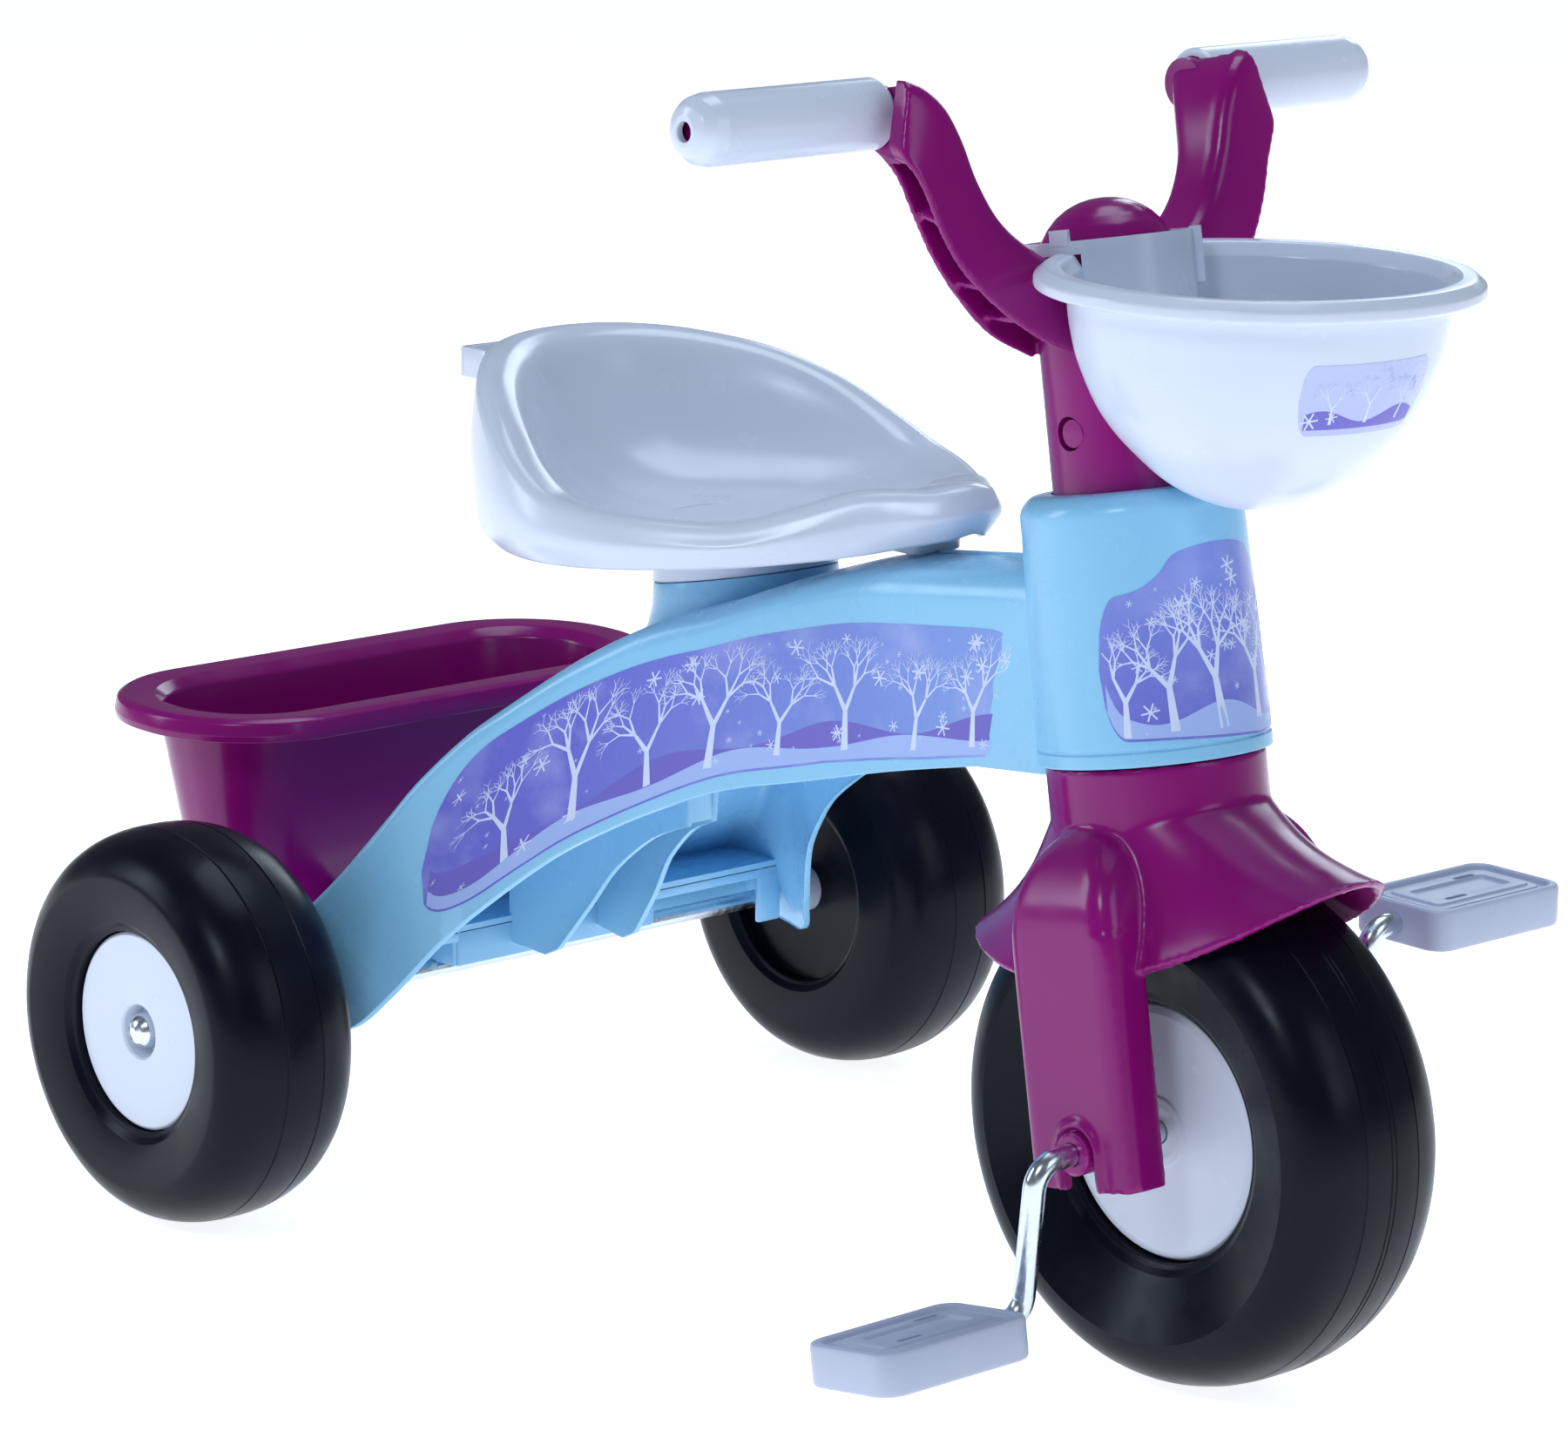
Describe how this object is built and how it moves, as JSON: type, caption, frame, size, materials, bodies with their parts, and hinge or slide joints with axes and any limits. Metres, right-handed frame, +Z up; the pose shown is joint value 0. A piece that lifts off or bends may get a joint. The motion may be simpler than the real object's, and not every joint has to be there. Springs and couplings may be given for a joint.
{
  "type": "children's tricycle",
  "caption": "Moulded children's tricycle with raked steering column, bucket seat, front basket, rear bin, hollow plastic wheels and pedals on a bent-rod crank.",
  "frame": {"origin": "on the ground under the middle of the bounding box", "axes": "+X forward, +Y to the rider's left, +Z up"},
  "size_m": [0.672, 0.4422, 0.5034],
  "materials": {
    "blue_plastic": "glossy sky-blue moulded plastic",
    "magenta_plastic": "glossy magenta moulded plastic",
    "white_plastic": "glossy cool-white moulded plastic",
    "black_plastic": "semi-gloss black blow-moulded plastic",
    "steel": "bright zinc-plated steel"
  },
  "bodies": {
    "frame": {"frame_shell": "blue_plastic", "seat": "white_plastic", "rear_bin": "magenta_plastic", "seat_screw_rear": "steel", "seat_screw_front": "steel", "bin_screw_right": "steel", "bin_screw_left": "steel", "rear_axle": "steel", "axle_spacer_right": "white_plastic", "axle_spacer_left": "white_plastic", "axle_cap_right": "steel", "axle_cap_left": "steel"},
    "steering": {"fork": "magenta_plastic", "handlebar": "magenta_plastic", "stem_bolt": "steel", "stem_nut": "steel", "grip_right": "white_plastic", "grip_left": "white_plastic", "axle_bush_right": "magenta_plastic", "axle_bush_left": "magenta_plastic", "basket": "white_plastic"},
    "front_wheel_set": {"front_wheel": "black_plastic", "front_hub_right": "white_plastic", "front_hub_left": "white_plastic", "crank": "steel"},
    "pedal_right_body": {"pedal_right": "white_plastic"},
    "pedal_left_body": {"pedal_left": "white_plastic"},
    "rear_wheel_right_body": {"rear_wheel_right": "black_plastic", "rear_hub_right": "white_plastic"},
    "rear_wheel_left_body": {"rear_wheel_left": "black_plastic", "rear_hub_left": "white_plastic"}
  },
  "joints": [
    {"name": "steering_turn", "type": "hinge", "parent": "frame", "child": "steering", "pos_m": [0.23006, 0, 0.10131], "axis": [-0.1736, 0, 0.9848], "range_deg": [-45, 45]},
    {"name": "front_wheel_spin", "type": "hinge", "parent": "steering", "child": "front_wheel_set", "pos_m": [0.234, 0, 0.102], "axis": [0, 1, 0], "continuous": true},
    {"name": "pedal_right_spin", "type": "hinge", "parent": "front_wheel_set", "child": "pedal_right_body", "pos_m": [0.22802, -0.14, 0.03878], "axis": [0, 1, 0], "continuous": true},
    {"name": "pedal_left_spin", "type": "hinge", "parent": "front_wheel_set", "child": "pedal_left_body", "pos_m": [0.23998, 0.14, 0.16522], "axis": [0, 1, 0], "continuous": true},
    {"name": "rear_wheel_right_spin", "type": "hinge", "parent": "frame", "child": "rear_wheel_right_body", "pos_m": [-0.1728, -0.1865, 0.084], "axis": [0, 1, 0], "continuous": true},
    {"name": "rear_wheel_left_spin", "type": "hinge", "parent": "frame", "child": "rear_wheel_left_body", "pos_m": [-0.1728, 0.1865, 0.084], "axis": [0, 1, 0], "continuous": true}
  ]
}
